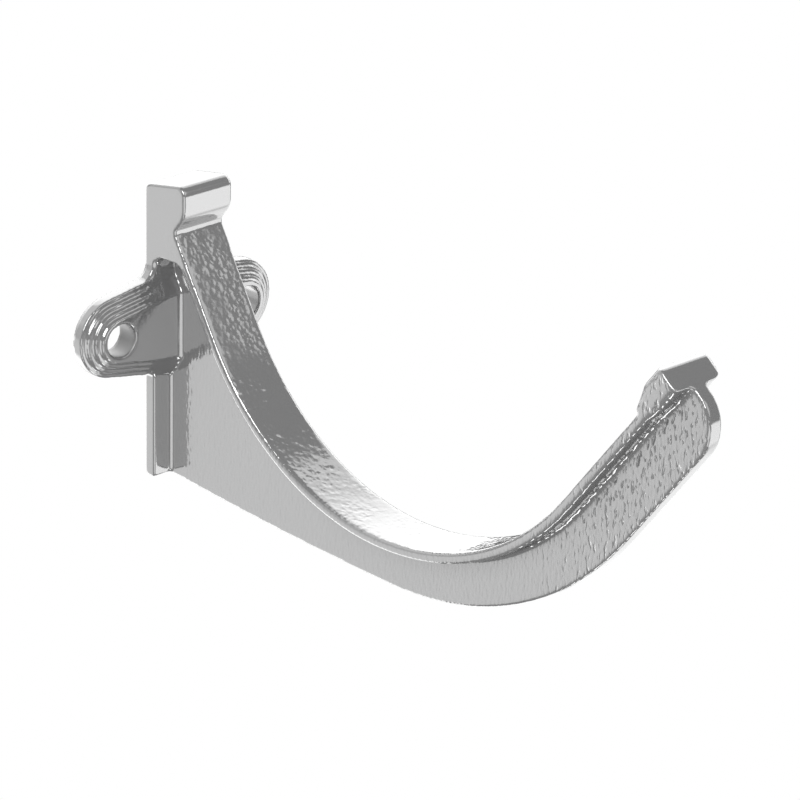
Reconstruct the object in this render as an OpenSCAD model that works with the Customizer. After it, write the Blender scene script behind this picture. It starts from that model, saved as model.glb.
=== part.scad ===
// Cast gutter bracket for a half-round gutter, poured in one piece: a wall plate
// with two stepped screw lugs, a curved T-section arm that cradles the gutter, a
// nib over the gutter's back edge and a nosed head under its front bead.
// Frame: millimetres, X along the wall, wall face at Y = 0, arm towards -Y, Z up.
// The origin is on the wall face, in the bracket's plane of symmetry.

/* [Seat] */
// Distance from the wall to the lowest point of the seat
seat_reach = 66.9; // [60:0.1:80]
// Drop from the origin to the lowest point of the seat
seat_drop = 23.9; // [20:0.1:30]
// Seat radius on the wall side
rear_radius = 54.9; // [45:0.1:58]
// Seat radius on the front side
front_radius = 62.5; // [55:0.1:68]
// Lean of the straight rear flank from upright, in degrees
rear_lean = 32; // [30:0.5:34]
// Lean of the straight front flank from upright, in degrees
front_lean = 38.3; // [34:0.1:44]
// Length of the straight front flank, up to the tip
front_flank = 39.5; // [34:0.5:50]

/* [Arm] */
// Width of the flange that carries the gutter
flange_w = 12.3; // [10:0.1:16]
// Thickness of the flange
flange_t = 2.3; // [1.8:0.1:3]
// Thickness of the web under the flange
web_t = 3.3; // [2.5:0.1:5]
// Depth of the web below the lowest point of the seat
web_low = 11.5; // [8:0.1:14]
// Depth of the web behind the front flank
web_front = 12.9; // [11:0.1:16]
// Sag of the web's underside below the plate's foot
web_sag = 2.4; // [1:0.1:6]
// Radius of the web's corner at the tip
tip_radius = 8.5; // [4:0.5:9]

/* [Head] */
// Length of the thickened head at the tip
head_len = 10.9; // [8:0.1:14]
// Height of the head above the seat
head_rise = 2.5; // [2:0.1:3.5]
// Height of the nose at the head's lower end
nose_rise = 1.3; // [0.8:0.1:1.8]
// Length of the ramp from the nose to the full head
nose_ramp = 4.8; // [3:0.1:6]

/* [Wall plate and nib] */
// Thickness of the wall plate
plate_t = 2.9; // [2.5:0.1:4]
// Height of the top's back edge above the origin
top_back = 28.5; // [27:0.1:29]
// Height of the top's front edge above the origin
top_front = 30.8; // [30:0.1:34]
// Reach of the nib from the wall
nib_reach = 11.7; // [11:0.1:14]
// Height of the nib's lower corner above the origin
nib_low = 24.3; // [23.5:0.1:25]
// Height of the notch that holds the gutter's back edge above the origin
notch_z = 20.6; // [18:0.1:21]
// Height of the top of the pockets beside the web above the origin
pocket_z = 14.1; // [13:0.1:15]

/* [Screw lugs] */
// Height of the screw holes above the origin
lug_z = -0.5; // [-3:0.1:1]
// Distance between the two screw holes
hole_spacing = 32.4; // [30:0.1:44]
// Diameter of the screw holes
hole_d = 6.8; // [5:0.1:8]
// Radius of the lug's round end
lug_radius = 8.3; // [7.9:0.1:10]
// Half-height of the lug where it meets the plate
lug_root = 10.2; // [9:0.1:11]
// Thickness of the lug's rim at its end
rim_t = 2.5; // [1.6:0.1:3]
// Rise of each step on the lug
step_rise = 0.75; // [0.3:0.05:1]
// Width of each step on the lug
step_w = 1.2; // [0.8:0.05:1.3]
// Slope of the lug's face towards its root, in degrees
lug_slope = 2.5; // [0:0.5:6]

/* [Hidden] */
$fn = 180;

CASTING_COLOUR = [0.5, 0.5, 0.505];
STEPS = 3;           // steps from the lug's rim up to its face
JOIN = 0.4;          // overlap that welds neighbouring forms
CROSS = 0.01;        // how far a rounding crosses the edges it runs into
TOP_BACK_R = 1.9;    // roundings of the wall plate and the nib
TOP_FRONT_R = 2;
NIB_R = 5;
NOTCH_R = 1.5;
FOOT_R = 0.8;
POCKET_R = 2.4;      // fillets of the pockets beside the web
CORNER_R = 0.9;
LUG_TOP_R = 3.2;     // fillets between the lugs and the plate
LUG_LOW_R = 1.4;
NOSE_R = 0.6;        // roundings of the head
HEAD_R = 0.9;
HEAD_SIDE_R = 1.2;

// Side-view points are [distance from the wall, height].
up_rear = [-sin(rear_lean), cos(rear_lean)];
out_rear = [-cos(rear_lean), -sin(rear_lean)];
up_front = [sin(front_lean), cos(front_lean)];
out_front = [cos(front_lean), -sin(front_lean)];

seat_low = [seat_reach, -seat_drop];
rear_centre = seat_low + [0, rear_radius];
front_centre = seat_low + [0, front_radius];
rear_start = rear_centre + rear_radius * out_rear;
front_start = front_centre + front_radius * out_front;

// The web's outer arc is level under the seat's lowest point and runs into a line
// parallel to the front flank, which fixes its radius.
web_bottom = seat_low - [0, web_low];
outer_radius = front_radius
    + (web_front - web_low * sin(front_lean)) / (1 - sin(front_lean));
outer_centre = web_bottom + [0, outer_radius];
outer_start = outer_centre + outer_radius * out_front;
foot_z = web_bottom[1] + web_sag;
foot = [plate_t / 2, foot_z];
belly_radius = (pow(seat_reach - foot[0], 2) + pow(web_sag, 2)) / (2 * web_sag);
belly_centre = web_bottom + [0, belly_radius];
buried = flange_t / 2;   // the web's inner edge runs inside the flange

lug_x = hole_spacing / 2;
lug_end = lug_x + lug_radius;
half_w = flange_w / 2;
lug_run = lug_x - half_w;
lug_taper = acos(lug_radius / norm([lug_root, lug_run])) - atan2(lug_run, lug_root);
web_face_t = face_depth(web_t / 2);

// A point on the rear flank at a height, set back from the seat by a depth.
function rear_at(z, depth) =
    let (foot_pt = rear_start + depth * out_rear)
    foot_pt + (z - foot_pt[1]) / cos(rear_lean) * up_rear;

// A point on the front flank, a distance up it and a depth behind the seat.
function front_at(s, depth) = front_start + s * up_front + depth * out_front;

// Depth of the lug's top face at a distance from the middle of the bracket.
function face_depth(x) = rim_t + STEPS * step_rise + (lug_end - x) * tan(lug_slope);

function unit(v) = v / norm(v);
function cross2(a, b) = a[0] * b[1] - a[1] * b[0];

// Turn at corner i: positive where an anticlockwise outline is convex.
function turn_at(p, i) =
    let (n = len(p))
    cross2(p[i] - p[(i + n - 1) % n], p[(i + 1) % n] - p[i]);

// The sliver between a chord and its arc, reaching a little past the chord.
module segment(centre, radius, a, b) {
    n = unit((a + b) / 2 - centre);
    h = radius - (a - centre) * n + 1;
    intersection() {
        translate(centre) circle(radius);
        polygon([a, (a + b) / 2 - JOIN * n, b, b + h * n, a + h * n]);
    }
}

// The piece between a corner and its rounding: taken off a convex corner, added in
// a concave one. The edges leave the corner along the unit vectors a and b.
module corner_piece(corner, a, b, radius) {
    mid = unit(a + b);
    half = acos(a * b) / 2;
    difference() {
        polygon([corner + radius / tan(half) * a, corner - JOIN * mid,
                 corner + radius / tan(half) * b]);
        translate(corner + (radius - CROSS) / sin(half) * mid) circle(radius);
    }
}

module corner_pieces(p, r, turn) {
    n = len(p);
    for (i = [0:n - 1]) if (r[i] > 0 && sign(turn_at(p, i)) == turn)
        corner_piece(p[i], unit(p[(i + n - 1) % n] - p[i]), unit(p[(i + 1) % n] - p[i]), r[i]);
}

// An anticlockwise outline whose corners have their own roundings.
module rounded(p, r) {
    difference() {
        union() {
            polygon(p);
            corner_pieces(p, r, -1);
        }
        corner_pieces(p, r, 1);
    }
}

// A fillet in the corner between two edges that leave it at angles from and to.
module fillet(corner, from, to, radius) {
    corner_piece(corner, [cos(from), sin(from)], [cos(to), sin(to)], radius);
}

// Puts a side view into the bracket's frame, extruded across its middle.
module side_view() {
    rotate([90, 0, -90]) children();
}

module side_plate(width) {
    side_view() linear_extrude(width, center = true) children();
}

// Puts a wall view (along the wall, height) into the frame, grown off the wall.
module wall_view(depth) {
    rotate([90, 0, 0]) linear_extrude(depth) children();
}

// The arm's band between two depths behind the seat, as a side view: straight
// chords first, then the outer arcs laid on and the inner ones taken off.
module seat_band(inner, outer) {
    points_out = [rear_at(notch_z, outer), rear_start + outer * out_rear,
                  seat_low - [0, outer], front_at(0, outer), front_at(front_flank, outer)];
    points_in = [front_at(front_flank, inner), front_at(0, inner),
                 seat_low - [0, inner], rear_start + inner * out_rear, rear_at(notch_z, inner)];
    difference() {
        union() {
            polygon(concat(points_out, points_in));
            segment(rear_centre, rear_radius + outer, points_out[1], points_out[2]);
            segment(front_centre, front_radius + outer, points_out[2], points_out[3]);
        }
        segment(rear_centre, rear_radius + inner, points_in[3], points_in[2]);
        segment(front_centre, front_radius + inner, points_in[2], points_in[1]);
    }
}

module flange() {
    side_plate(flange_w) seat_band(0, flange_t);
}

module web() {
    low = seat_low - [0, buried];
    rear = rear_start + buried * out_rear;
    front = front_at(0, buried);
    side_plate(web_t) difference() {
        union() {
            rounded([foot, web_bottom, outer_start, front_at(front_flank, web_front),
                     front_at(front_flank, buried), front, low, rear,
                     rear_at(pocket_z + JOIN, buried), [foot[0], pocket_z + JOIN]],
                    [0, 0, 0, tip_radius, 0, 0, 0, 0, 0, 0]);
            segment(belly_centre, belly_radius, foot, web_bottom);
            segment(outer_centre, outer_radius, web_bottom, outer_start);
        }
        segment(rear_centre, rear_radius + buried, rear, low);
        segment(front_centre, front_radius + buried, low, front);
    }
}

// Wall plate, block and nib: one profile, as wide as the flange.
module spine() {
    notch = rear_at(notch_z, 0);
    side_plate(flange_w)
        rounded([[0, foot_z], [plate_t, foot_z], [plate_t, pocket_z],
                 rear_at(pocket_z, buried), notch,
                 [nib_reach, nib_low], [nib_reach, top_front], [0, top_back]],
                [FOOT_R, FOOT_R, POCKET_R, 0, 0, NIB_R, TOP_FRONT_R, TOP_BACK_R]);
    side_plate(flange_w) {
        corner_piece(rear_at(pocket_z, flange_t), [-1, 0], -up_rear, POCKET_R);
        corner_piece(notch, unit([nib_reach, nib_low] - notch), -up_rear, NOTCH_R);
    }
}

module head() {
    base = front_flank - head_len;
    difference() {
        side_plate(flange_w) translate(front_start) rotate(90 - front_lean)
            rounded([[base, -JOIN], [front_flank, -JOIN], [front_flank, head_rise],
                     [base + nose_ramp, head_rise], [base, nose_rise]],
                    [0, 0, HEAD_R, 0, NOSE_R]);
        for (side = [-1, 1])
            translate([0, -front_start[0], front_start[1]]) rotate([front_lean, 0, 0])
                linear_extrude(front_flank + 1)
                    corner_piece([side * half_w, head_rise], [-side, 0], [0, -1], HEAD_SIDE_R);
    }
}

// Outline of one lug, drawn in from its rim by an inset.
module lug_outline(inset) {
    r = lug_radius - inset;
    flat = r - CROSS;
    end = [lug_x + flat * sin(lug_taper), flat * cos(lug_taper)];
    root = (flat + lug_x * sin(lug_taper)) / cos(lug_taper);
    translate([0, lug_z]) {
        translate([lug_x, 0]) circle(r);
        polygon([[0, -root], [end[0], -end[1]], end, [0, root]]);
    }
}

// One lug: layers that step in and up from the rim, all sloping to the root.
module lug() {
    reach = face_depth(0) + 1;
    for (k = [0:STEPS])
        intersection() {
            wall_view(reach) lug_outline(k * step_w);
            translate([lug_end, -rim_t - k * step_rise, lug_z]) rotate([0, 0, lug_slope])
                translate([-2 * lug_end, 0, -lug_end]) cube([3 * lug_end, 2 * reach, 2 * lug_end]);
        }
    wall_view(plate_t) {
        fillet([half_w, lug_z + lug_root], -lug_taper, 90, LUG_TOP_R);
        fillet([half_w, lug_z - lug_root], -90, lug_taper, LUG_LOW_R);
    }
}

// Fillets that run up the corners between the web and the plate.
module plate_fillets() {
    translate([0, 0, foot_z + FOOT_R]) linear_extrude(pocket_z - foot_z - FOOT_R)
        fillet([web_t / 2, -plate_t], -90, 0, CORNER_R);
    translate([0, 0, lug_z - lug_root + STEPS * step_w])
        linear_extrude(2 * (lug_root - STEPS * step_w))
            fillet([web_t / 2, -web_face_t], -90, -lug_slope, CORNER_R);
}

module bracket() {
    color(CASTING_COLOUR) difference() {
        union() {
            flange();
            web();
            spine();
            head();
            for (side = [0, 1]) mirror([side, 0, 0]) {
                lug();
                plate_fillets();
            }
        }
        for (x = [-lug_x, lug_x]) translate([x, 1, lug_z]) rotate([90, 0, 0])
            cylinder(h = face_depth(0) + 2, d = hole_d);
    }
}

bracket();
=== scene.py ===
"""A cast gutter bracket in grey gloss coating, dressed for a plain studio view."""

from __future__ import annotations

import logging
import math
from dataclasses import dataclass, field
from enum import Enum
from typing import Any, Sequence, Union

import bmesh
import bpy
import numpy as np
from mathutils import Matrix, Vector

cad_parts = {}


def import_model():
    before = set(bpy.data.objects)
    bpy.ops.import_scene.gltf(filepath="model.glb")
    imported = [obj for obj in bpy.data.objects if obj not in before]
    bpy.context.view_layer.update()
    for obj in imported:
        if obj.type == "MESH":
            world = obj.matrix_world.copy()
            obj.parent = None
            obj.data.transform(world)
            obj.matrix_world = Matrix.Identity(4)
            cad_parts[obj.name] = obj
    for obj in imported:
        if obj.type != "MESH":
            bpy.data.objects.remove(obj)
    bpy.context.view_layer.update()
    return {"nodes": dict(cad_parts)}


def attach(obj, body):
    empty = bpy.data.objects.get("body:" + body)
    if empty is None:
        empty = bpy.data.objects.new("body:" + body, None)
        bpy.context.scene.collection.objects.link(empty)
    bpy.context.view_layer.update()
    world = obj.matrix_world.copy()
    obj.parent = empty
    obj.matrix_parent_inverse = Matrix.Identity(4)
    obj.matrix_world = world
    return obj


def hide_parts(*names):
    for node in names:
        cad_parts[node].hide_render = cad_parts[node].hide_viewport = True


log = logging.getLogger("bracket")
MM = 0.001
WHITE = (1.0, 1.0, 1.0, 1.0)
Span = tuple[float, float]


class Axis(Enum):
    """The parts of a place or a direction: along the wall, into the wall, and up."""

    ACROSS = 0
    INWARD = 1
    UP = 2


class Ray(Enum):
    """The kinds of ray that a surface can tell apart."""

    CAMERA = "Is Camera Ray"
    GLOSSY = "Is Glossy Ray"


class Wire:
    """A node socket that takes part in Python arithmetic."""

    def __init__(self, sheet: "NodeSheet", socket: Any) -> None:
        """Wraps a socket.

        Args:
            sheet: the node sheet that the socket is on.
            socket: the output socket.
        """
        self.sheet = sheet
        self.socket = socket

    def _math(self, operation: str, *values: "Value") -> "Wire":
        """Adds one Math node.

        Args:
            operation: the Math node's operation.
            values: its inputs, in order.

        Returns:
            The result.
        """
        return self.sheet.add("ShaderNodeMath", {"operation": operation}, dict(enumerate(values)))

    def __add__(self, other: "Value") -> "Wire":
        """Returns self + other."""
        return self._math("ADD", self, other)

    __radd__ = __add__

    def __sub__(self, other: "Value") -> "Wire":
        """Returns self - other."""
        return self._math("SUBTRACT", self, other)

    def __rsub__(self, other: "Value") -> "Wire":
        """Returns other - self."""
        return self._math("SUBTRACT", other, self)

    def __mul__(self, other: "Value") -> "Wire":
        """Returns self * other."""
        return self._math("MULTIPLY", self, other)

    __rmul__ = __mul__

    def __rtruediv__(self, other: "Value") -> "Wire":
        """Returns other / self."""
        return self._math("DIVIDE", other, self)

    def step(self, low: float, high: float) -> "Wire":
        """Rises smoothly from 0 at low to 1 at high.

        Args:
            low: where the rise starts.
            high: where it ends; below low, the step falls instead.

        Returns:
            The eased value.
        """
        settings = {"interpolation_type": "SMOOTHERSTEP"}
        if low < high:
            return self.sheet.add("ShaderNodeMapRange", settings, {0: self, 1: low, 2: high, 3: 0.0, 4: 1.0})
        return self.sheet.add("ShaderNodeMapRange", settings, {0: self, 1: high, 2: low, 3: 1.0, 4: 0.0})


Value = Union[Wire, float, int]


class NodeSheet:
    """Builds the nodes of one material, world or geometry tree."""

    def __init__(self, tree: Any) -> None:
        """Clears a node tree for building.

        Args:
            tree: the node tree to fill.
        """
        self.tree = tree
        tree.nodes.clear()

    def node(self, kind: str, settings: dict[str, Any], inputs: dict[Any, Any]) -> Any:
        """Adds a node, sets it and wires it.

        Args:
            kind: the node's type name.
            settings: its properties, set before its sockets.
            inputs: a value or Wire for each socket, by index or name.

        Returns:
            The node itself.
        """
        made = self.tree.nodes.new(kind)
        for name, value in settings.items():
            setattr(made, name, value)
        for key, value in inputs.items():
            socket = made.inputs[key]
            if isinstance(value, Wire):
                self.tree.links.new(value.socket, socket)
            else:
                socket.default_value = value
        return made

    def add(self, kind: str, settings: dict[str, Any], inputs: dict[Any, Any], output: Any = 0) -> Wire:
        """Adds a node and returns one of its outputs.

        Args:
            kind: the node's type name.
            settings: its properties.
            inputs: a value or Wire for each socket.
            output: the output wanted, by index or name.

        Returns:
            The output, ready for arithmetic.
        """
        return Wire(self, self.node(kind, settings, inputs).outputs[output])

    def part(self, vector: Wire, axis: Axis) -> Wire:
        """Returns one axis of a place or a direction."""
        return self.add("ShaderNodeSeparateXYZ", {}, {0: vector}, axis.value)

    def agreement(self, direction: Wire, aim: Sequence[float]) -> Wire:
        """Returns how far a direction agrees with the one given."""
        return self.add("ShaderNodeVectorMath", {"operation": "DOT_PRODUCT"}, {0: direction, 1: aim}, "Value")

    def ray(self, kind: Ray) -> Wire:
        """Returns 1 for rays of one kind."""
        return self.add("ShaderNodeLightPath", {}, {}, kind.value)

    def tint(self, factor: Value, first: Any, second: Any) -> Wire:
        """Mixes two colours.

        Args:
            factor: 0 keeps the first, 1 gives the second.
            first: one colour.
            second: the other colour.

        Returns:
            The mixed colour.
        """
        return self.add("ShaderNodeMix", {"data_type": "RGBA"}, {0: factor, 6: first, 7: second}, 2)

    def emission(self, strength: Value) -> Wire:
        """Returns a surface that gives white light."""
        return self.add("ShaderNodeEmission", {}, {"Color": WHITE, "Strength": strength})

    def background(self, strength: Value) -> Wire:
        """Returns surroundings that give white light."""
        return self.add("ShaderNodeBackground", {}, {"Color": WHITE, "Strength": strength})

    def blend(self, factor: Value, first: Wire, second: Wire) -> Wire:
        """Mixes two shaders.

        Args:
            factor: 0 keeps the first, 1 gives the second.
            first: one shader.
            second: the other shader.

        Returns:
            The mixed shader.
        """
        return self.add("ShaderNodeMixShader", {}, {0: factor, 1: first, 2: second})

    def noise(self, place: Wire, scale: float, detail: float, rough: float = 0.5) -> Wire:
        """Adds a noise texture.

        Args:
            place: where it is read.
            scale: cycles per metre.
            detail: octaves.
            rough: how much the fine octaves count.

        Returns:
            The noise, about 0 to 1.
        """
        inputs = {"Vector": place, "Scale": scale, "Detail": detail, "Roughness": rough}
        return self.add("ShaderNodeTexNoise", {}, inputs)

    def cells(self, place: Wire, size: float, smoothness: float) -> Wire:
        """Adds soft cells that rise from their middles to their edges.

        Args:
            place: where they are read.
            size: metres from one cell to the next.
            smoothness: how far their edges run into each other.

        Returns:
            The distance from the nearest middle, in cell sizes.
        """
        settings = {"feature": "SMOOTH_F1", "voronoi_dimensions": "3D"}
        inputs = {"Vector": place, "Scale": 1 / size, "Smoothness": smoothness}
        return self.add("ShaderNodeTexVoronoi", settings, inputs)

    def stretch(self, place: Wire, scale: Sequence[float], turn: Sequence[float]) -> Wire:
        """Scales and turns coordinates about the origin.

        Args:
            place: the coordinates.
            scale: a factor for each axis.
            turn: angles in radians.

        Returns:
            The new coordinates.
        """
        return self.add("ShaderNodeMapping", {}, {"Vector": place, "Scale": scale, "Rotation": turn})


@dataclass(frozen=True)
class SkinLayout:
    """Where each kind of skin lies.

    Each span runs from where a kind starts to where it is full. Places are in metres, in the
    bracket's frame. Facings are parts of a unit normal, and the first two are squared. The
    scale is in cycles per metre.
    """

    side_facing: Span = (0.45, 0.8)
    turning_facing: Span = (0.01, 0.1)
    upward_facing: Span = (0.0, 0.3)
    below_nib: Span = (22 * MM, 19 * MM)
    off_plate: Span = (-5 * MM, -8 * MM)
    patch_scale: float = 100.0
    patch_span: Span = (0.36, 0.6)
    patch_low: float = 0.3
    front_edges: Span = (-70 * MM, -90 * MM)
    front_side: Span = (-88 * MM, -138 * MM)
    nib_top: Span = (27 * MM, 28 * MM)
    seat_bottom: Span = (-8 * MM, -12 * MM)
    wall_edge: Span = (-0.9 * MM, 0.0)
    far_edge: Span = (5.35 * MM, 6.15 * MM)
    lug_z: float = -0.5 * MM
    hole_reach: float = 16.2 * MM
    hole_wall: Span = (3.7 * MM, 3.45 * MM)
    right_hole: float = 0.3
    lug_start: Span = (7 * MM, 8 * MM)
    root_inner: Span = (1.7 * MM, 2.1 * MM)
    root_outer: Span = (8.5 * MM, 6.5 * MM)
    upper_root: tuple[Span, Span] = ((5.8 * MM, 7 * MM), (13.5 * MM, 12 * MM))
    lower_root: tuple[Span, Span] = ((-6.5 * MM, -7.7 * MM), (-11 * MM, -10 * MM))
    root_front: Span = (-8 * MM, -7 * MM)
    root_back: Span = (-2.4 * MM, -3.2 * MM)


class Regions:
    """Tells from a place and a normal which kinds of skin are there."""

    layout: SkinLayout = SkinLayout()

    def __init__(self, sheet: NodeSheet, place: Wire, normal: Wire) -> None:
        """Splits the place and the normal into their axes.

        Args:
            sheet: the sheet to build on.
            place: the place, in the bracket's frame.
            normal: the surface normal there.
        """
        self.sheet = sheet
        self.place = place
        self.across = sheet.part(place, Axis.ACROSS)
        self.inward = sheet.part(place, Axis.INWARD)
        self.height = sheet.part(place, Axis.UP)
        sideways = sheet.part(normal, Axis.ACROSS)
        self.side = (sideways * sideways).step(*self.layout.side_facing)
        self.turning = (sideways * sideways).step(*self.layout.turning_facing) * (1 - self.side)
        self.upward = sheet.part(normal, Axis.UP).step(*self.layout.upward_facing)

    def _from_middle(self, span: Span) -> Wire:
        """Returns a step along the distance from the middle plane, to either side."""
        start, end = span
        return (self.across * self.across).step(start**2, end**2)

    def arm(self) -> Wire:
        """Returns 1 on the arm, 0 on the wall plate, the lugs and the nib."""
        return self.inward.step(*self.layout.off_plate) * self.height.step(*self.layout.below_nib)

    def seat(self) -> Wire:
        """Marks the pebbled faces that the gutter lies against.

        Returns:
            Up to 1 there, in patches.
        """
        low = self.layout.patch_low
        noise = self.sheet.noise(self.place, self.layout.patch_scale, detail=1.0)
        patches = noise.step(*self.layout.patch_span) * (1 - low) + low
        return self.arm() * (1 - self.side) * self.upward * patches

    def front_edges(self) -> Wire:
        """Returns 1 on the fillets and the flange's lower edges towards the arm's tip."""
        return self.turning * (1 - self.upward) * self.inward.step(*self.layout.front_edges)

    def front_side(self) -> Wire:
        """Returns 1 on the arm's side faces towards its tip."""
        return self.side * self.inward.step(*self.layout.front_side)

    def far_edges(self) -> Wire:
        """Marks the back and right edges of the faces that look up.

        Returns:
            1 along those edges, and 0 a little way in.
        """
        levels = self.height.step(*self.layout.nib_top) + self.height.step(*self.layout.seat_bottom)
        right = levels * self.across.step(*self.layout.far_edge)
        return self.upward * (self.inward.step(*self.layout.wall_edge) + right)

    def painted_shade_bores(self) -> Wire:
        """Marks the walls of the two screw holes, where shade is painted into the coat's colour.

        Returns:
            1 in the left hole, and less in the right one.
        """
        low = self.height - self.layout.lug_z
        start, end = self.layout.hole_wall
        left, right = (self.across - reach * self.layout.hole_reach for reach in (-1, 1))
        left_wall, right_wall = ((x * x + low * low).step(start**2, end**2) for x in (left, right))
        return left_wall + right_wall * self.layout.right_hole

    def lugs(self) -> Wire:
        """Returns 1 on the screw lugs."""
        return self._from_middle(self.layout.lug_start)

    def lug_root(self) -> Wire:
        """Marks the lugs' roots.

        Returns:
            1 above and below them, where the lugs' steps die out into the plate.
        """
        upper, lower = (
            self.height.step(*start) * self.height.step(*end)
            for start, end in (self.layout.upper_root, self.layout.lower_root)
        )
        beside_web = self._from_middle(self.layout.root_inner) * self._from_middle(self.layout.root_outer)
        off_wall = self.inward.step(*self.layout.root_front) * self.inward.step(*self.layout.root_back)
        return beside_web * (upper + lower) * off_wall


@dataclass(frozen=True)
class GlossCoat:
    """Grey gloss coating over cast metal, with its sizes, depths and heights in metres."""

    tone: tuple[float, float, float] = (0.17, 0.17, 0.171)
    tone_spread: float = 0.05
    # Painted shade: a near-black colour laid on the screw holes' walls in place of the shade inside them.
    bore_painted_shade: tuple[float, float, float, float] = (0.05, 0.05, 0.05, 1.0)
    index: float = 3.2
    roughness: float = 0.08
    roughness_spread: float = 0.08
    bore_roughness: float = 0.4
    cloud_scale: float = 90.0
    bend_scale: float = 900.0
    bend: float = 0.5 * MM
    pebble_size: float = 1.0 * MM
    pebble_smoothness: float = 0.45
    pebble_height: float = 0.095 * MM
    pebbles_elsewhere: float = 0.03
    bead_size: float = 1.6 * MM
    bead_smoothness: float = 0.6
    bead_height: float = 0.24 * MM
    drawn_out: tuple[float, float, float] = (1.0, 1.0, 0.42)
    drawn_turn: tuple[float, float, float] = (math.radians(-24), 0.0, 0.0)
    mark_size: float = 0.8 * MM
    mark_span: Span = (0.46, 0.9)
    mark_height: float = 0.16 * MM
    grain_size: float = 0.6 * MM
    grain_height: float = 0.045 * MM
    fine_scale: float = 2600.0
    fine_height: float = 0.007 * MM
    fine_off_arm: float = 0.4
    edge_depth: float = 0.35 * MM

    def _relief(self, sheet: NodeSheet, place: Wire, regions: Regions) -> Wire:
        """Adds up the skin's fine relief.

        Args:
            sheet: the sheet to build on.
            place: the place on the casting.
            regions: which skin is where.

        Returns:
            The height, in metres.
        """
        bends = sheet.noise(place, self.bend_scale, detail=1.0) * self.bend
        bent = sheet.add("ShaderNodeVectorMath", {"operation": "ADD"}, {0: place, 1: bends})
        drawn = sheet.stretch(place, self.drawn_out, self.drawn_turn)
        pebbles = sheet.cells(bent, self.pebble_size, self.pebble_smoothness)
        beads = sheet.cells(place, self.bead_size, self.bead_smoothness)
        marks = sheet.noise(drawn, 1 / self.mark_size, detail=1.0, rough=0.4).step(*self.mark_span)
        grain = sheet.noise(drawn, 1 / self.grain_size, detail=0.0)
        fine = sheet.noise(place, self.fine_scale, detail=1.0)
        fine_share = regions.arm() * (1 - self.fine_off_arm) + self.fine_off_arm
        relief = pebbles * (regions.seat() + self.pebbles_elsewhere) * self.pebble_height
        relief = relief + beads * regions.front_edges() * self.bead_height
        relief = relief - marks * regions.front_side() * self.mark_height
        relief = relief + grain * regions.arm() * regions.side * self.grain_height
        relief = relief + fine * fine_share * self.fine_height
        return relief - regions.far_edges() * self.edge_depth

    def build(self) -> Any:
        """Makes the material.

        Returns:
            The finished material.
        """
        material = bpy.data.materials.new("gloss_coat")
        material.use_nodes = True
        sheet = NodeSheet(material.node_tree)
        place = sheet.add("ShaderNodeTexCoord", {}, {}, "Object")
        normal = sheet.add("ShaderNodeNewGeometry", {}, {}, "Normal")
        regions = Regions(sheet, place, normal)
        relief = self._relief(sheet, place, regions)
        bump = sheet.add("ShaderNodeBump", {}, {"Strength": 1.0, "Distance": 1.0, "Height": relief})
        cloud = sheet.noise(place, self.cloud_scale, detail=3.0, rough=0.6)
        shares = (1 - self.tone_spread, 1 + self.tone_spread)
        dim, bright = ((*(share * c for c in self.tone), 1) for share in shares)
        # Painted shade: the screw holes' walls take a near-black colour, and more roughness.
        painted_shade_bores = regions.painted_shade_bores()
        roughness = self.roughness + (cloud - 0.5) * self.roughness_spread + painted_shade_bores * self.bore_roughness
        inputs = {
            "Base Color": sheet.tint(painted_shade_bores, sheet.tint(cloud, dim, bright), self.bore_painted_shade),
            "Roughness": roughness,
            "IOR": self.index,
            "Normal": bump,
        }
        coat = sheet.add("ShaderNodeBsdfPrincipled", {}, inputs)
        sheet.node("ShaderNodeOutputMaterial", {}, {"Surface": coat})
        return material


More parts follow.
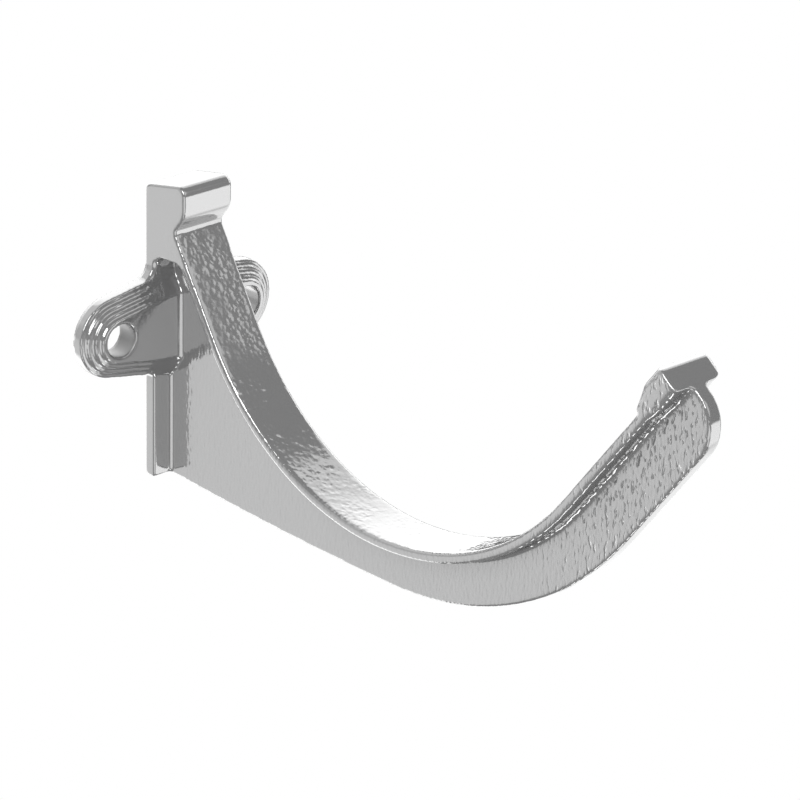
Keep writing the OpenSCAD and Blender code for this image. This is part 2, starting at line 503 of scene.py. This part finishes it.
@dataclass(frozen=True)
class ArmCurves:
    """The arm's side-view curves and its edges, in metres.

    A place in side view is [distance from the wall, height].
    """

    seat_reach: float = 66.9 * MM
    seat_drop: float = 23.9 * MM
    rear_radius: float = 54.9 * MM
    front_radius: float = 62.5 * MM
    rear_lean: float = math.radians(32)
    front_lean: float = math.radians(38.3)
    front_flank: float = 39.5 * MM
    head_len: float = 10.9 * MM
    flange_w: float = 12.3 * MM
    flange_t: float = 2.3 * MM
    web_t: float = 3.3 * MM
    web_low: float = 11.5 * MM
    web_front: float = 12.9 * MM
    notch_z: float = 20.6 * MM
    fillet_top: float = 15.5 * MM
    fillet_r: float = 1.05 * MM
    fillet_points: int = 7
    fillet_bite: float = 0.5 * MM
    edge_r: float = 0.75 * MM
    head_edge_r: float = 1.8 * MM
    head_low_r: float = 1.1 * MM
    head_far_r: float = 2.2 * MM
    head_growth: float = 0.55 * MM
    head_rise: float = 2.5 * MM
    nose_rise: float = 1.3 * MM
    nose_ramp: float = 4.8 * MM
    near: float = 0.06 * MM
    near_turn: float = 1e-3
    spacing: float = 0.8 * MM

    def _arc(self, radius: float, turn: np.ndarray) -> tuple[np.ndarray, np.ndarray]:
        """Places on one of the seat's arcs, and the directions away from the gutter.

        Args:
            radius: the arc's radius.
            turn: angles from straight down, positive towards the front.

        Returns:
            The places and the directions, one a row.
        """
        away = np.stack([np.sin(turn), -np.cos(turn)], axis=1)
        centre = np.array([self.seat_reach, radius - self.seat_drop])
        return centre + radius * away, away

    def stations(self) -> tuple[np.ndarray, np.ndarray]:
        """Steps along the seat from the pocket to the tip.

        Returns:
            The seat's places and the directions away from the gutter.
        """
        rear_turns = np.arange(self.rear_lean - math.pi / 2, 0.0, self.spacing / self.rear_radius)
        front_turn = math.pi / 2 - self.front_lean
        front_turns = np.linspace(0.0, front_turn, int(front_turn * self.front_radius / self.spacing))
        rear, rear_away = self._arc(self.rear_radius, rear_turns)
        front, front_away = self._arc(self.front_radius, front_turns)
        lift = (self.fillet_top - rear[0, 1]) / math.cos(self.rear_lean)
        start = rear[0] + lift * np.array([-math.sin(self.rear_lean), math.cos(self.rear_lean)])
        reach = self.front_flank - self.near
        tip = front[-1] + reach * np.array([math.sin(self.front_lean), math.cos(self.front_lean)])
        places = np.vstack([start, rear, front, tip])
        away = np.vstack([rear_away[0], rear_away, front_away, front_away[-1]])
        return places, away

    def fillet(self, side: int) -> Any:
        """Models the fillet between the flange and the web on one side.

        Args:
            side: +1 or -1 along the wall.

        Returns:
            A closed mesh.
        """
        bite = self.fillet_bite
        web, low, radius = self.web_t / 2, self.flange_t, self.fillet_r
        angles = np.linspace(math.pi / 2, 0, self.fillet_points)
        curve = [(web + radius * (1 - math.cos(a)), low + radius * (1 - math.sin(a))) for a in angles]
        section = [(web - bite, low - bite), (web + radius, low - bite), *curve, (web - bite, low + radius)]
        places, away = self.stations()
        work = bmesh.new()
        rings = [
            [work.verts.new((side * x, -(p[0] + d * n[0]), p[1] + d * n[1])) for x, d in section]
            for p, n in zip(places, away)
        ]
        count = len(section)
        for a, b in zip(rings, rings[1:]):
            for i in range(count):
                j = (i + 1) % count
                work.faces.new((a[i], a[j], b[j], b[i]))
        work.faces.new(rings[0])
        work.faces.new(rings[-1])
        bmesh.ops.recalc_face_normals(work, faces=work.faces)
        mesh = bpy.data.meshes.new("fillet")
        work.to_mesh(mesh)
        work.free()
        return mesh

    def settle(self, points: np.ndarray) -> np.ndarray:
        """Moves points just off the arm's arcs onto them, rounds its edges and grows its head.

        Args:
            points: vertex places, one a row.

        Returns:
            The places, moved.
        """
        lean = math.sin(self.front_lean)
        outer = self.front_radius + (self.web_front - self.web_low * lean) / (1 - lean)
        low = -self.seat_drop
        rear_turn = self.rear_lean - math.pi / 2
        front_turn = math.pi / 2 - self.front_lean
        arcs = [
            (self.rear_radius, low, self.flange_t, rear_turn, 0.0),
            (self.front_radius, low, self.flange_t, 0.0, front_turn),
            (outer, low - self.web_low, 0.0, 0.0, front_turn),
        ]
        moved = points.copy()
        out = -points[:, 1] - self.seat_reach
        for inner, bottom, thickness, start, end in arcs:
            centre = bottom + inner
            up = points[:, 2] - centre
            reach = np.hypot(out, up)
            turn = np.arctan2(out, -up)
            inside = (turn >= start - self.near_turn) & (turn <= end + self.near_turn)
            for radius in sorted({inner, inner + thickness}):
                pick = inside & (np.abs(reach - radius) < self.near)
                factor = radius / reach[pick]
                moved[pick, 1] = -(out[pick] * factor + self.seat_reach)
                moved[pick, 2] = up[pick] * factor + centre
        return self._deepen_head(self._round_edges(moved))

    def _deepen_head(self, points: np.ndarray) -> np.ndarray:
        """Makes the head stand off the seat, and below the flange, a little more.

        Nothing rises above the points' own top.

        Args:
            points: places, one a row.

        Returns:
            The places with the head grown on both faces.
        """
        depth, away, along = self._depth(points)
        base = self.front_flank - self.head_len
        ramp = np.interp(along, [base, base + self.nose_ramp], [0.0, 1.0])
        levels = [-self.head_rise, 0.0, self.flange_t, self.flange_t + self.fillet_r, self.web_low]
        growth = self.head_growth
        shift = ramp * np.interp(depth, levels, [-growth, 0.0, growth, growth, 0.0])
        moved = points.copy()
        moved[:, 1] -= shift * away[:, 0]
        moved[:, 2] = np.minimum(moved[:, 2] + shift * away[:, 1], points[:, 2].max())
        return moved

    def _depth(self, points: np.ndarray) -> tuple[np.ndarray, np.ndarray, np.ndarray]:
        """Measures each point from the seat.

        Args:
            points: places, one a row.

        Returns:
            Depth behind the seat, its direction [outward, up], and the distance up the front flank.
        """
        out, up = -points[:, 1] - self.seat_reach, points[:, 2] + self.seat_drop
        front = out > 0
        radius = np.where(front, self.front_radius, self.rear_radius)
        turn = np.arctan2(out, radius - up)
        limit = np.clip(turn, self.rear_lean - math.pi / 2, math.pi / 2 - self.front_lean)
        away = np.stack([np.sin(limit), -np.cos(limit)], axis=1)
        depth = out * away[:, 0] + (up - radius) * away[:, 1] - radius
        along = out * -away[:, 1] + (up - radius) * away[:, 0]
        return depth, away, np.where(front, along, -1.0)

    def _round_edges(self, points: np.ndarray) -> np.ndarray:
        """Rounds the long edges of the flange and of its head.

        Args:
            points: places, one a row.

        Returns:
            The places with the edges rounded.
        """
        depth, away, along = self._depth(points)
        base = self.front_flank - self.head_len
        head = along > base
        nose = np.interp(along, [base, base + self.nose_ramp], [self.nose_rise, self.head_rise])
        rise = np.where(head, nose, 0.0)
        arm = (depth > -rise - self.near) & (depth < self.flange_t + self.near)
        arm &= -points[:, 1] > self.web_low
        arm &= points[:, 2] < np.where(along < 0, self.notch_z - self.edge_r, np.inf)
        moved = points.copy()
        low_r = np.where(points[:, 0] > 0, self.head_far_r, self.head_low_r)
        for top, head_r in ((True, self.head_edge_r), (False, low_r)):
            radius = np.where(head, head_r, self.edge_r)
            core = self.flange_w / 2 - radius
            over = np.abs(points[:, 0]) - core
            gap = radius - depth - rise if top else depth - (self.flange_t - radius)
            length = np.hypot(over, gap)
            pick = arm & (over > 0) & (gap > 0) & (length > radius)
            shrink = radius[pick] / length[pick]
            moved[pick, 0] = np.sign(points[pick, 0]) * (core[pick] + over[pick] * shrink)
            shift = (gap[pick] * (1 - shrink)) * (1 if top else -1)
            moved[pick, 1] -= shift * away[pick, 0]
            moved[pick, 2] += shift * away[pick, 1]
        return moved


@dataclass
class CastSkin:
    """Softens sharp edges and adds the mould's skin, as geometry nodes."""

    rounding: int = 6
    root_blending: int = 90
    lug_firmness: float = 0.85
    pebble_depth: float = 0.06 * MM
    pebble_size: float = 1.6 * MM
    pebble_span: Span = (0.3, 0.7)
    seat_share: float = 0.9
    front_share: float = 0.3
    rest_share: float = 0.04
    waviness: float = 0.03 * MM
    wave_scale: float = 110.0
    fine_share: float = 0.4
    seed: int = 7
    seed_step: int = 5

    def _relief(self, sheet: NodeSheet, place: Wire, inputs: dict[str, Wire]) -> Wire:
        """Works out how far the skin stands off at each point.

        Args:
            sheet: the node sheet.
            place: the point.
            inputs: the tree's named inputs.

        Returns:
            The height, mostly negative.
        """
        facing = sheet.add("GeometryNodeInputNormal", {}, {})
        regions = Regions(sheet, place, facing)

        def noise(seed: Value, scale: Value) -> Wire:
            """Returns noise that differs from seed to seed."""
            values = {"Vector": place, "W": seed, "Scale": scale, "Detail": 1.0, "Roughness": self.fine_share}
            return sheet.add("ShaderNodeTexNoise", {"noise_dimensions": "4D"}, values)

        pebbles = noise(inputs["Seed"], 1 / inputs["Pebble size"])
        waves = noise(inputs["Seed"] + self.seed_step, self.wave_scale)
        share = regions.seat() * self.seat_share + regions.front_side() * self.front_share + self.rest_share
        relief = (pebbles.step(*self.pebble_span) - 1) * share * inputs["Pebble depth"]
        return relief + (waves - 1) * inputs["Waviness"]

    def _soften(self, sheet: NodeSheet, shape: Wire, passes: Value, weight: Wire) -> Wire:
        """Evens out the surface where the weight is high.

        Args:
            sheet: the node sheet.
            shape: the geometry.
            passes: how many times each point moves towards its neighbours.
            weight: how far it moves, from 0 to 1.

        Returns:
            The softened geometry.
        """
        values = {"Iterations": passes, "Weight": weight}
        blur = sheet.node("GeometryNodeBlurAttribute", {"data_type": "FLOAT_VECTOR"}, values)
        place = sheet.add("GeometryNodeInputPosition", {}, {})
        socket = next(s for s in blur.inputs if s.enabled and s.name == "Value")
        sheet.tree.links.new(place.socket, socket)
        result = Wire(sheet, next(s for s in blur.outputs if s.enabled))
        return sheet.add("GeometryNodeSetPosition", {}, {"Geometry": shape, "Position": result})

    def _sizes(self) -> dict[str, tuple[str, Any]]:
        """Lists the tree's named inputs.

        Returns:
            Each input's socket type and value.
        """
        return {
            "Rounding": ("NodeSocketInt", self.rounding),
            "Root blending": ("NodeSocketInt", self.root_blending),
            "Seed": ("NodeSocketInt", self.seed),
            "Pebble depth": ("NodeSocketFloat", self.pebble_depth),
            "Pebble size": ("NodeSocketFloat", self.pebble_size),
            "Waviness": ("NodeSocketFloat", self.waviness),
        }

    def tree(self) -> Any:
        """Builds the node group.

        Returns:
            The geometry node group, with named inputs for its sizes.
        """
        group = bpy.data.node_groups.new("cast_skin", "GeometryNodeTree")
        face = group.interface
        face.new_socket("Geometry", in_out="INPUT", socket_type="NodeSocketGeometry")
        for name, (kind, _) in self._sizes().items():
            face.new_socket(name, in_out="INPUT", socket_type=kind)
        face.new_socket("Finish", in_out="INPUT", socket_type="NodeSocketMaterial")
        face.new_socket("Geometry", in_out="OUTPUT", socket_type="NodeSocketGeometry")
        sheet = NodeSheet(group)
        source = sheet.node("NodeGroupInput", {}, {})
        inputs = {name: Wire(sheet, source.outputs[name]) for name in ("Geometry", "Finish", *self._sizes())}
        place = sheet.add("GeometryNodeInputPosition", {}, {})
        lugs = Regions(sheet, place, sheet.add("GeometryNodeInputNormal", {}, {})).lugs()
        soft = self._soften(sheet, inputs["Geometry"], inputs["Rounding"], 1 - lugs * self.lug_firmness)
        soft = self._soften(sheet, soft, inputs["Root blending"], Regions(sheet, place, place).lug_root())
        normal = sheet.add("GeometryNodeInputNormal", {}, {})
        relief = self._relief(sheet, place, inputs)
        offset = sheet.add("ShaderNodeVectorMath", {"operation": "SCALE"}, {0: normal, "Scale": relief})
        grained = sheet.add("GeometryNodeSetPosition", {}, {"Geometry": soft, "Offset": offset})
        smooth = sheet.add("GeometryNodeSetShadeSmooth", {}, {"Geometry": grained})
        real = sheet.add("GeometryNodeRealizeInstances", {}, {"Geometry": smooth})
        dressed = sheet.add("GeometryNodeSetMaterial", {}, {"Geometry": real, "Material": inputs["Finish"]})
        sheet.node("NodeGroupOutput", {}, {"Geometry": dressed})
        return group

    def fit(self, piece: Any, finish: Any) -> None:
        """Puts the skin on a piece as a modifier.

        Args:
            piece: the object.
            finish: the material it ends in.
        """
        modifier = piece.modifiers.new("cast_skin", "NODES")
        group = self.tree()
        modifier.node_group = group
        values = {name: value for name, (_, value) in self._sizes().items()}
        values["Finish"] = finish
        for item in group.interface.items_tree:
            if item.in_out == "INPUT" and item.name in values:
                modifier[item.identifier] = values[item.name]


@dataclass
class Casting:
    """The bracket itself: one casting, remade from its solid with soft edges."""

    weld: float = 1e-7
    voxel: float = 0.24 * MM
    most_triangles: int = 190_000
    curves: ArmCurves = field(default_factory=ArmCurves)
    skin: CastSkin = field(default_factory=CastSkin)

    def _merged(self, node: Any) -> Any:
        """Copies the solid's mesh with its vertices merged, and adds the arm's fillets.

        Args:
            node: the CAD node's object.

        Returns:
            A new mesh.
        """
        work = bmesh.new()
        work.from_mesh(node.data)
        bmesh.ops.remove_doubles(work, verts=work.verts, dist=self.weld)
        for side in (-1, 1):
            work.from_mesh(self.curves.fillet(side))
        mesh = bpy.data.meshes.new("casting_blank")
        work.to_mesh(mesh)
        work.free()
        return mesh

    def _frozen(self, piece: Any, name: str) -> Any:
        """Turns a piece and its modifiers into a plain mesh.

        Args:
            piece: the object with its modifiers.
            name: the new mesh's name.

        Returns:
            The evaluated mesh.
        """
        mesh = bpy.data.meshes.new_from_object(piece.evaluated_get(bpy.context.evaluated_depsgraph_get()))
        mesh.name = name
        return mesh

    def build(self, node: Any, finish: Any) -> Any:
        """Makes the casting.

        Args:
            node: the CAD node that it stands for.
            finish: its material.

        Returns:
            The finished object.
        """
        piece = bpy.data.objects.new("casting", self._merged(node))
        bpy.context.collection.objects.link(piece)
        remesh = piece.modifiers.new("cells", "REMESH")
        remesh.mode = "VOXEL"
        remesh.voxel_size = self.voxel
        remesh.adaptivity = 0.0
        blank = self._frozen(piece, "casting_cells")
        places = np.empty(len(blank.vertices) * 3)
        blank.vertices.foreach_get("co", places)
        blank.vertices.foreach_set("co", self.curves.settle(places.reshape(-1, 3)).ravel())
        piece.modifiers.clear()
        piece.data = blank
        self.skin.fit(piece, finish)
        thin = piece.modifiers.new("thin", "DECIMATE")
        triangles = sum(len(p.vertices) - 2 for p in blank.polygons)
        thin.ratio = min(1.0, self.most_triangles / triangles)
        final = self._frozen(piece, "casting")
        piece.modifiers.clear()
        piece.data = final
        log.info("casting: %d cells, %d faces kept", len(blank.polygons), len(final.polygons))
        return piece

    def declare(self, piece: Any) -> None:
        """Says what the piece rides on and stands for.

        Args:
            piece: the finished casting.
        """
        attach(piece, "root")
        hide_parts("bracket")


@dataclass(frozen=True)
class Glow:
    """A patch of light in the surroundings, which the gloss mirrors; below 0 it darkens them."""

    toward: tuple[float, float, float]
    rise: Span
    strength: float

    def light(self, sheet: NodeSheet, direction: Wire) -> Wire:
        """Returns the patch's light in a direction, which grows as that nears the patch's own."""
        return sheet.agreement(direction, self.toward).step(*self.rise) * self.strength


@dataclass
class Studio:
    """Floor, world and lamp."""

    floor_z: float = -0.2
    floor_y: float = -0.09
    floor_half: float = 0.12
    floor_white: float = 0.975
    paper: float = 0.7
    strip_half: float = 0.032
    strip_reach: float = 0.05
    strip_y: float = -0.125
    strip_core: float = 0.6
    strip_glow: float = 5.0
    strip_dim: float = 0.3
    lamp_place: tuple[float, float, float] = (-0.62, -0.3, 0.46)
    lamp_aim: tuple[float, float, float] = (0.0, -0.07, 0.0)
    lamp_size: float = 0.5
    lamp_power: float = 4.5
    dim_above: float = 0.3
    dim_below: float = 0.32
    horizon: Span = (-0.07, -0.2)
    dawn: Glow = Glow((0.75, 0.66, 0.0), (0.46, 0.58), 1.134)
    sky: Glow = Glow((0.75, 0.66, 0.0), (0.56, 0.98), 1.566)
    front_window: Glow = Glow((0.25, -0.8, 0.55), (0.9, 0.98), 0.9)
    back_window: Glow = Glow((-0.1, 0.8, 0.6), (0.74, 0.97), 0.9)
    left_window: Glow = Glow((-0.75, 0.65, 0.15), (0.9, 0.99), 0.54)
    behind_web: Glow = Glow((-0.35, 0.85, -0.4), (0.7, 1.0), 1.03)
    behind_edge: Glow = Glow((0.1, 0.75, -0.65), (0.85, 0.97), 1.8)
    below_tip: Glow = Glow((0.64, 0.22, -0.74), (0.85, 0.96), 1.7)
    far_shade: Glow = Glow((0.64, 0.67, -0.38), (0.9, 0.98), -0.224)
    right_table: Glow = Glow((0.64, -0.67, -0.38), (0.78, 0.95), 1.95)
    left_table: Glow = Glow((-0.67, -0.64, -0.38), (0.8, 0.95), 1.25)

    def _strip(self, sheet: NodeSheet) -> Wire:
        """Marks the lit strip of the floor under the arm's front, which only the gloss shows.

        Args:
            sheet: the floor's sheet.

        Returns:
            1 on the strip.
        """
        place = sheet.add("ShaderNodeNewGeometry", {}, {}, "Position")
        across = sheet.part(place, Axis.ACROSS)
        along = sheet.part(place, Axis.INWARD) - self.strip_y
        width, length = (
            (offset * offset).step(half**2, (half * self.strip_core) ** 2)
            for offset, half in ((across, self.strip_half), (along, self.strip_reach))
        )
        return width * length

    def floor(self) -> Any:
        """Lays a pale floor that reads white to the camera.

        Returns:
            The floor object.
        """
        half = self.floor_half
        mesh = bpy.data.meshes.new("floor")
        corners = [(-half, -half), (half, -half), (half, half), (-half, half)]
        mesh.from_pydata([(x, y + self.floor_y, self.floor_z) for x, y in corners], [], [(0, 1, 2, 3)])
        piece = bpy.data.objects.new("floor", mesh)
        bpy.context.collection.objects.link(piece)
        material = bpy.data.materials.new("floor_white")
        material.use_nodes = True
        sheet = NodeSheet(material.node_tree)
        paper = sheet.add("ShaderNodeBsdfDiffuse", {}, {"Color": (self.paper, self.paper, self.paper, 1)})
        lit = sheet.blend(sheet.ray(Ray.CAMERA) * self.floor_white, paper, sheet.emission(1.0))
        dim, bright = sheet.emission(self.strip_dim), sheet.emission(self.strip_glow)
        mirrored = sheet.blend(self._strip(sheet), dim, bright)
        both = sheet.blend(sheet.ray(Ray.GLOSSY), lit, mirrored)
        sheet.node("ShaderNodeOutputMaterial", {}, {"Surface": both})
        mesh.materials.append(material)
        return piece

    def world(self) -> None:
        """Fills the surroundings: white to the camera, and dim with patches of light otherwise."""
        world = bpy.data.worlds.new("studio")
        bpy.context.scene.world = world
        world.use_nodes = True
        sheet = NodeSheet(world.node_tree)
        direction = sheet.add("ShaderNodeTexCoord", {}, {}, "Generated")
        high = (self.dawn, self.sky, self.front_window, self.back_window, self.left_window)
        low = (
            self.behind_web,
            self.behind_edge,
            self.below_tip,
            self.far_shade,
            self.right_table,
            self.left_table,
        )
        above = sum((glow.light(sheet, direction) for glow in high), self.dim_above)
        under = sum((glow.light(sheet, direction) for glow in low), self.dim_below)
        lowness = sheet.part(direction, Axis.UP).step(*self.horizon)
        level = above * (1 - lowness) + under * lowness
        both = sheet.blend(sheet.ray(Ray.CAMERA), sheet.background(level), sheet.background(1.0))
        sheet.node("ShaderNodeOutputWorld", {}, {"Surface": both})

    def lamp(self) -> None:
        """Hangs one softbox on the left."""
        light = bpy.data.lights.new("left", "AREA")
        light.shape = "RECTANGLE"
        light.size = light.size_y = self.lamp_size
        light.energy = self.lamp_power
        rig = bpy.data.objects.new("left", light)
        rig.visible_camera = False
        rig.location = self.lamp_place
        facing = Vector(self.lamp_aim) - Vector(self.lamp_place)
        rig.rotation_euler = facing.to_track_quat("-Z", "Y").to_euler()
        bpy.context.collection.objects.link(rig)

    def build(self) -> None:
        """Sets up the whole studio."""
        self.floor()
        self.world()
        self.lamp()
        log.info("studio: floor, world and lamp")


@dataclass
class ViewCamera:
    """The camera, placed by angles and distance about a target."""

    azimuth: float = -43.53
    elevation: float = 22.35
    roll: float = 1.26
    distance: float = 0.9306
    lens: float = 212.16
    sensor: float = 36.0
    nearest: float = 0.01
    target: tuple[float, float, float] = (0.02908, -0.03619, -0.01511)

    def build(self) -> None:
        """Creates the camera and makes it the scene's."""
        turn, rise, roll = (math.radians(a) for a in (self.azimuth, self.elevation, self.roll))
        right = Vector((math.cos(turn), math.sin(turn), 0))
        back = Vector((math.sin(turn) * math.cos(rise), -math.cos(turn) * math.cos(rise), math.sin(rise)))
        up = back.cross(right)
        rolled_right = math.cos(roll) * right + math.sin(roll) * up
        rolled_up = math.cos(roll) * up - math.sin(roll) * right
        axes = Matrix((rolled_right, rolled_up, back)).transposed().to_4x4()
        place = Vector(self.target) + back * self.distance
        data = bpy.data.cameras.new("view")
        data.sensor_width = self.sensor
        data.lens = self.lens
        data.clip_start = self.nearest
        rig = bpy.data.objects.new("view", data)
        rig.matrix_world = Matrix.Translation(place) @ axes
        bpy.context.collection.objects.link(rig)
        bpy.context.scene.camera = rig
        log.info("camera: %.1f mm lens at %.0f mm", self.lens, self.distance / MM)


def main() -> None:
    logging.basicConfig(level=logging.INFO, format="%(message)s")
    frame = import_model()
    bpy.context.scene.view_settings.view_transform = "Standard"
    ViewCamera().build()
    finish = GlossCoat().build()
    casting = Casting()
    piece = casting.build(frame["nodes"]["bracket"], finish)
    casting.declare(piece)
    Studio().build()


if __name__ == "__main__":
    main()
